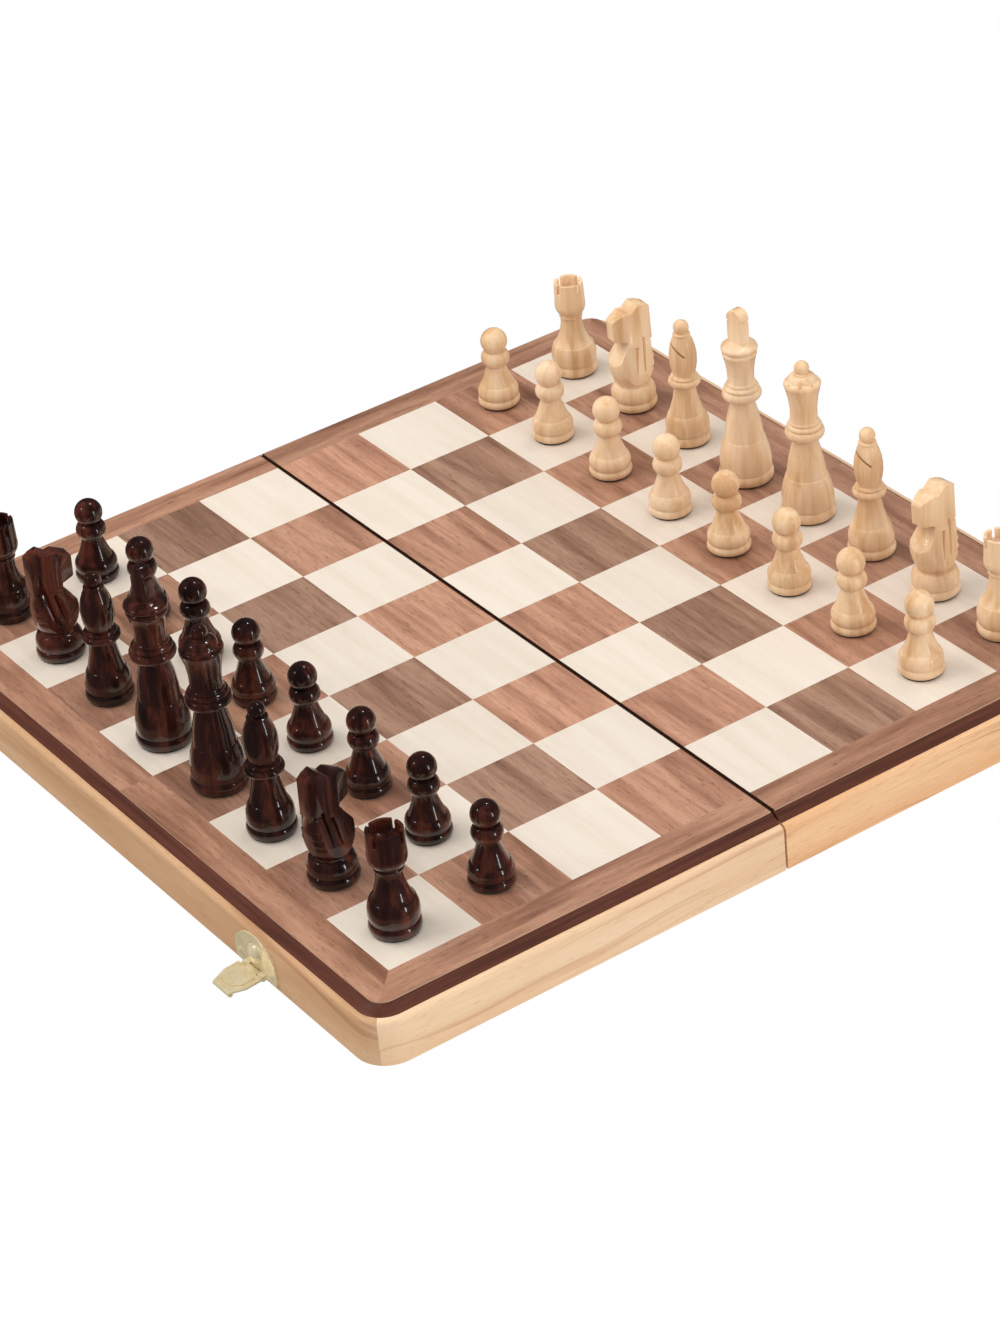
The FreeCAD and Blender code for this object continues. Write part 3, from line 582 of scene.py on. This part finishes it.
def rook(name, girth, turn):
    top = ROOK["height"]
    deep, slot_width, cutter_height = 4.6, 1.8, 20
    upper = slim(girth, 14.7, 27.0,
                 (8.3, 14.9), (6.1, 20.5, 5.35, 27.6),
                 (6.0, 28.6, 5.6, 29.5), (7.4, 32.0, 7.75, 35.4),
                 (7.4, top), (5.9, top), (5.9, top - deep), (0, top - deep - 1.6))
    made = turned(name, (ROOK["foot"] - 0.6, PAD),
                  *foot_steps(ROOK["foot"], 5.2, 9.0, 14.4), *upper)
    for angle in (0, 90):
        slot = block("slot", (40, slot_width, cutter_height),
                     (0, 0, top - deep + cutter_height / 2), turn_z(turn + angle))
        combine(made, slot, "DIFFERENCE")
    return made


def bishop(name, girth, turn):
    upper = slim(girth, 14.2, 26.0,
                 (6.4, 19.6, 5.2, 27.0), (5.3, 27.6), (7.6, 28.5),
                 (8.2, 29.8, 7.6, 31.0), (6.6, 31.4), (6.9, 32.1, 6.3, 32.8),
                 (5.4, 33.2), (6.95, 42.6, 4.1, 52.2), (4.4, 52.6), (4.2, 53.2),
                 (2.8, 53.6), (BISHOP["height"],))
    made = turned(name, (BISHOP["foot"] - 0.6, PAD),
                  *foot_steps(BISHOP["foot"], 4.9, 8.0, 14.2), *upper)
    cut_width, cut_length, cut_tilt = 1.0, 14.0, 49
    tilt = (Matrix.Rotation(math.radians(cut_tilt), 4, "Y")
            @ Matrix.Translation((0, 0, cut_length / 2)))
    place = turn_z(turn) @ Matrix.Translation((-1.4, 0, 43.6)) @ tilt
    slot = block("slot", (cut_width, 40, cut_length), (0, 0, 0), place)
    return combine(made, slot, "DIFFERENCE")


def queen(name, girth, turn):
    rim = 64.8
    upper = slim(girth, 19.6, 34.0,
                 (8.1, 27.2, 6.1, 36.4), (6.1, 37.4), (8.7, 38.7),
                 (9.6, 40.6, 9.0, 42.3), (8.0, 42.7), (8.5, 43.7, 7.7, 44.6),
                 (7.1, 44.9), (7.3, 45.6, 6.8, 46.3), (6.6, 46.8),
                 (7.0, 55.5, 8.7, 62.4), (8.95, 63.8, 8.4, rim),
                 (6.9, 65.3), (5.7, 67.4, 4.2, 68.2), (4.2, 68.6), (3.0, 69.0),
                 (QUEEN["height"],))
    made = turned(name, (QUEEN["foot"] - 0.6, PAD),
                  *foot_steps(QUEEN["foot"], 5.4, 9.1, 19.6), *upper)
    notch_radius, notch_length, notch_start = 0.8, 2.6, 7.4 * girth
    for i in range(QUEEN_NOTCHES):
        place = (turn_z(360 * i / QUEEN_NOTCHES)
                 @ Matrix.Translation((notch_start + notch_length / 2, 0, rim + 0.3)))
        notch = turned_bar("notch", notch_radius, notch_length, place)
        combine(made, notch, "DIFFERENCE")
    return made


def king(name, girth, turn):
    upper = slim(girth, 20.2, 35.0,
                 (8.2, 28.0, 6.0, 37.6), (6.0, 38.8), (8.7, 40.1),
                 (9.7, 42.0, 9.1, 43.7), (8.1, 44.1), (8.6, 45.1, 7.8, 46.0),
                 (7.1, 46.3), (7.3, 47.0, 6.8, 47.8), (6.5, 48.3),
                 (6.75, 54.0, 8.1, 60.4), (8.5, 61.4, 8.1, 62.3), (7.6, 62.6),
                 (8.0, 63.0), (9.0, 64.3, 8.2, 65.5), (5.6, 66.8), (0, 66.8))
    made = turned(name, (KING["foot"] - 0.6, PAD),
                  *foot_steps(KING["foot"], 5.4, 9.0, 20.2), *upper)
    half = [(4.1, 66.0), (4.1, 76.6), (3.4, 77.1), (4.3, 77.7), (4.2, 79.0),
            (3.4, 80.7), (2.2, 81.7), (0.9, KING["height"])]
    points = half + [(-x, z) for x, z in reversed(half)]
    half_depth = 2.6
    cross = extruded("cross", points, -half_depth, half_depth)
    cross.data.transform(turn_z(turn + 90))
    soften(cross, 0.35, 3)
    return combine(made, cross, "UNION")


def plan_prism(name, half_plan, low, high):
    """Prism over a plan that mirrors (x, y) points across the X axis."""
    plan = half_plan + [(x, -y) for x, y in reversed(half_plan)]
    made = extruded(name, plan, low, high)
    made.data.transform(Matrix.Rotation(math.radians(90), 4, "X"))
    return made


def knight(name, girth, turn):
    points = [(10.2, 12.4), (10.2, 23.0), (7.4, 27.0), (4.6, 31.0), (3.4, 33.4),
              (3.8, 34.6), (8.8, 35.2), (9.5, 36.0), (9.8, 44.8), (9.2, 45.8),
              (3.6, 48.2), (1.0, 47.6), (-2.8, KNIGHT["height"]), (-6.4, 50.0),
              (-9.0, 48.6), (-9.6, 28.0), (-9.6, 20.0), (-8.0, 12.4)]
    made = turned(name, (KNIGHT["foot"] - 0.6, PAD),
                  *foot_steps(KNIGHT["foot"], 4.6, 8.6, 11.4), (7.6, 12.0), (7.6, 12.8),
                  (0, 12.8))
    head = extruded("head", points, -11, 11)
    wedge = plan_prism("wedge", [(-11, 3.2), (-3, 4.6), (3, 4.6), (10.5, 2.4)],
                       KNIGHT_JAW, 60)
    combine(head, wedge, "INTERSECT")
    neck = extruded("neck", points, -11, 11)
    flare = plan_prism("flare", [(-11, 3.9), (-6.0, 9.0), (10.5, 9.0)],
                       12.4, KNIGHT_JAW + 0.02)
    combine(neck, flare, "INTERSECT")
    breast = turned("breast", (7.2, 12.4), (10.0, 20.0, 9.5, 27.5), (9.3, 34), (0, 34))
    combine(neck, breast, "INTERSECT")
    for side in (-1, 1):
        # The sides of the neck lean in towards the jaw.
        lean = Matrix.Rotation(math.radians(side * KNIGHT_LEAN), 4, "X")
        shave = block("shave", (60, 20, 90), (0, 0, 0),
                      Matrix.Translation((0, side * KNIGHT_FLANK, KNIGHT_JAW)) @ lean
                      @ Matrix.Translation((0, side * 10, 0)))
        combine(neck, shave, "DIFFERENCE")
    combine(head, neck, "UNION")
    carve_mane(head)
    soften(head, 0.25, 2, math.radians(25))
    combine(made, head, "UNION")
    made.data.transform(turn_z(turn))
    return made


def groove_cut(name, start, end, side, width, depth):
    """V-shaped cutter along a line on the side of the neck, tapering to its lower end."""
    proud, end_width, end_depth = 0.6, 0.35, 0.62

    def on_flank(x, z):
        """Point just outside the leaning side of the neck."""
        lean = math.tan(math.radians(KNIGHT_LEAN))
        surface = side * KNIGHT_FLANK + side * (KNIGHT_JAW - z) * lean
        return Vector((x, surface + side * proud, z))

    along = Vector((end[0] - start[0], 0, end[1] - start[1]))
    across = Vector((along.z, 0, -along.x)).normalized() * width / 2
    top, low = on_flank(*start), on_flank(*end)
    inward = Vector((0, -side * (depth + proud), 0))
    verts = [top - across, top + across, top + inward,
             low - across * end_width, low + across * end_width, low + inward * end_depth]
    faces = [(0, 1, 2), (5, 4, 3), (0, 2, 5, 3), (1, 4, 5, 2), (0, 3, 4, 1)]
    return face_outwards(new_object(name, [tuple(v) for v in verts], faces))


def carve_mane(head):
    """Two wedge cuts on each side of the neck and gouges down the corners of the back."""
    for side in (-1, 1):
        for start, end in (((-4.8, 34.2), (-2.9, 18.6)), ((-0.8, 30.6), (1.2, 18.2))):
            cut = groove_cut("mane_cut", start, end, side, 2.3, 1.7)
            combine(head, cut, "DIFFERENCE")
        for level in (26.0, 22.6, 19.2):
            place = Matrix.Translation((-9.6, side * 5.2, level)) @ turn_z(side * 50)
            combine(head, turned_bar("gouge", 1.5, 12.0, place), "DIFFERENCE")


def felt_pad(name, radius):
    """Felt disc with a soft rim, glued under a man."""
    rim = radius - PAD_INSET
    return turned(name, (rim - 0.12, 0), (rim, 0.12), (rim, PAD))


def place_man(node, make, sizes, girth, turn, wood, cloth):
    """Build one man where the CAD model has it."""
    low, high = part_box(node)
    centre = (low + high) / 2
    put = Matrix.Translation((centre.x, centre.y, low.z)) @ Matrix.Scale(MM, 4)
    man = make(node + "_wood", girth, turn)
    man.data.transform(put)
    soften(man, TURN_EDGE)
    smooth(man)
    man.data.materials.clear()
    man.data.materials.append(wood)
    cloth_disc = felt_pad(node + "_pad", sizes["foot"])
    cloth_disc.data.transform(put)
    smooth(cloth_disc)
    cloth_disc.data.materials.append(cloth)
    for piece, slot in ((man, "dark_wood" if node.startswith("dark") else "boxwood"),
                        (cloth_disc, "felt")):
        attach(piece, node)
        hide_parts(node)


def place_side(colour, wood, cloth):
    facing = FACING[colour]
    girth = GIRTH[colour]
    left_rook, right_rook = ROOK_TURNS[colour]
    left_knight, right_knight = KNIGHT_TURNS
    left_bishop, right_bishop = BISHOP_TURNS[colour]
    for letter in FILES:
        place_man(colour + "_pawn_" + letter, pawn, PAWN, girth, 0, wood, cloth)
    for name, make, sizes, turn in (
            ("rook_a", rook, ROOK, left_rook), ("knight_b", knight, KNIGHT, facing + left_knight),
            ("bishop_c", bishop, BISHOP, left_bishop), ("queen", queen, QUEEN, 0),
            ("king", king, KING, KING_TURN), ("bishop_f", bishop, BISHOP, right_bishop),
            ("knight_g", knight, KNIGHT, facing + right_knight),
            ("rook_h", rook, ROOK, right_rook)):
        place_man(colour + "_" + name, make, sizes, girth, turn, wood, cloth)


def paint(node, material):
    """Give a CAD node its finished material and smooth shading."""
    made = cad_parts[node]
    made.data.materials.clear()
    made.data.materials.append(material)
    made.data.set_sharp_from_angle(angle=SHARP)


# --- the object ----------------------------------------------------------------------
def dress_board():
    halves = {"maple_squares": maple(), "walnut_veneer": walnut(), "panel": stained_panel(),
              "seam_wall": raw_wood(),
              "tray_lining": felt("lining", srgb(34, 78, 52), srgb(16, 44, 28))}
    # Painted light and shade: each wall's colours are set apart, the end wall darker and the
    # front walls lighter for how the lamps fall on them; the walls out of view share one set.
    out_of_view = (srgb(226, 190, 156), srgb(216, 174, 134), srgb(176, 130, 90))
    walls_lit_and_shaded = {"end_wall_left": (srgb(208, 168, 130), srgb(194, 150, 110), srgb(156, 108, 68)),
             "front_wall_left": (srgb(232, 200, 164), srgb(224, 186, 146), srgb(190, 140, 96)),
             "front_wall_right": (srgb(232, 188, 142), srgb(222, 168, 118), srgb(178, 116, 70)),
             "end_wall_right": out_of_view, "back_wall_left": out_of_view,
             "back_wall_right": out_of_view}
    metal = brass("brass", srgb(248, 232, 192), srgb(222, 196, 140), 0.26)
    for side in ("left", "right"):
        for name, material in halves.items():
            paint(name + "_" + side, material)
        for name in ("hinge_leaves", "hinge_screws", "plate_nails"):
            paint(name + "_" + side, metal)
    for seed, (node, colours) in enumerate(walls_lit_and_shaded.items()):
        paint(node, wall_wood(node + "_wood", *colours, seed))
    for node in ("hinge_pins", "clasp_plates", "clasp_pins", "clasp_flap_front",
                 "clasp_flap_back", "clasp_catches"):
        paint(node, metal)


def dress_men():
    pad_cloth = felt("pad_felt", srgb(58, 46, 40), srgb(30, 24, 22))
    boxwood = lacquered("boxwood", srgb(204, 160, 116), srgb(226, 190, 150),
                        srgb(236, 206, 172), 0.5, 0.12, 0.13)
    rosewood = lacquered("dark_wood", srgb(16, 5, 4), srgb(44, 16, 11), srgb(92, 42, 27),
                         1.0, 0.08, 0.5)
    place_side("dark", rosewood, pad_cloth)
    place_side("light", boxwood, pad_cloth)


# --- studio --------------------------------------------------------------------------
def area_light(name, toward, distance, size, power):
    """White softbox that looks at the middle of the board from direction toward."""
    data = bpy.data.lights.new(name, "AREA")
    data.shape = "RECTANGLE"
    data.size, data.size_y = size
    data.energy = power
    made = link_object(name, data)
    direction = Vector(toward).normalized()
    made.location = direction * distance
    made.rotation_mode = "QUATERNION"
    made.rotation_quaternion = (-direction).to_track_quat("-Z", "Y")
    return made


def build_world():
    """White to the camera, softer on the object and dim in polished surfaces."""
    world = bpy.data.worlds.new("studio")
    world.use_nodes = True
    background = world.node_tree.nodes["Background"]
    background.inputs["Color"].default_value = (1, 1, 1, 1)
    path = world.node_tree.nodes.new("ShaderNodeLightPath")
    mirrored = world.node_tree.nodes.new("ShaderNodeMix")
    mirrored.inputs["A"].default_value = FILL
    mirrored.inputs["B"].default_value = REFLECTED_FILL
    seen = world.node_tree.nodes.new("ShaderNodeMix")
    seen.inputs["B"].default_value = 1.0
    connect = world.node_tree.links.new
    connect(path.outputs["Is Glossy Ray"], mirrored.inputs["Factor"])
    connect(path.outputs["Is Camera Ray"], seen.inputs["Factor"])
    connect(mirrored.outputs["Result"], seen.inputs["A"])
    connect(seen.outputs["Result"], background.inputs["Strength"])
    bpy.context.scene.world = world


def build_studio():
    # The large lights leave no reflections; the small ones make the highlights.
    for name, toward, distance, size, power, reflected in (
            ("key", (-0.40, 0.30, 0.87), 1.8, (0.9, 0.9), 14, False),
            ("window", (-0.33, 0.75, 0.56), 1.8, (0.35, 0.5), 4, False),
            ("front", (0.30, -0.85, 0.52), 1.9, (0.9, 0.5), 5, False),
            ("top_glint", (0.33, 0.08, 0.94), 1.9, (0.18, 0.18), 3, True),
            ("side_glint", (-0.75, 0.25, 0.60), 1.9, (0.10, 0.30), 1.5, True),
            ("strip", (0.27, -0.95, 0.17), 2.0, (0.14, 0.9), 5, True)):
        area_light(name, toward, distance, size, power).visible_glossy = reflected

    corners = [(x * FLOOR_REACH, y * FLOOR_REACH, 0)
               for x, y in ((-1, -1), (1, -1), (1, 1), (-1, 1))]
    floor = new_object("floor", corners, [(0, 1, 2, 3)])
    floor.location.z = CAD_BOX[0][2] - FLOOR_DROP
    floor.data.materials.append(studio_floor())
    floor.visible_glossy = False
    bpy.context.scene.view_settings.view_transform = "Standard"


def build_camera():
    """The photograph's view: place, aim, roll and lens were fitted to the grid of squares."""
    data = bpy.data.cameras.new("camera")
    data.lens = 114.41
    data.sensor_width = 36
    camera = link_object("camera", data)
    place = Vector((-0.78605, -1.25208, 0.96768))
    target = Vector((-0.01985, -0.02964, 0.024))
    roll = math.radians(5.777)
    forward = (target - place).normalized()
    camera.location = place
    camera.rotation_mode = "QUATERNION"
    camera.rotation_quaternion = Quaternion(forward, roll) @ forward.to_track_quat("-Z", "Y")
    bpy.context.scene.camera = camera


dress_board()
dress_men()
build_world()
build_studio()
build_camera()
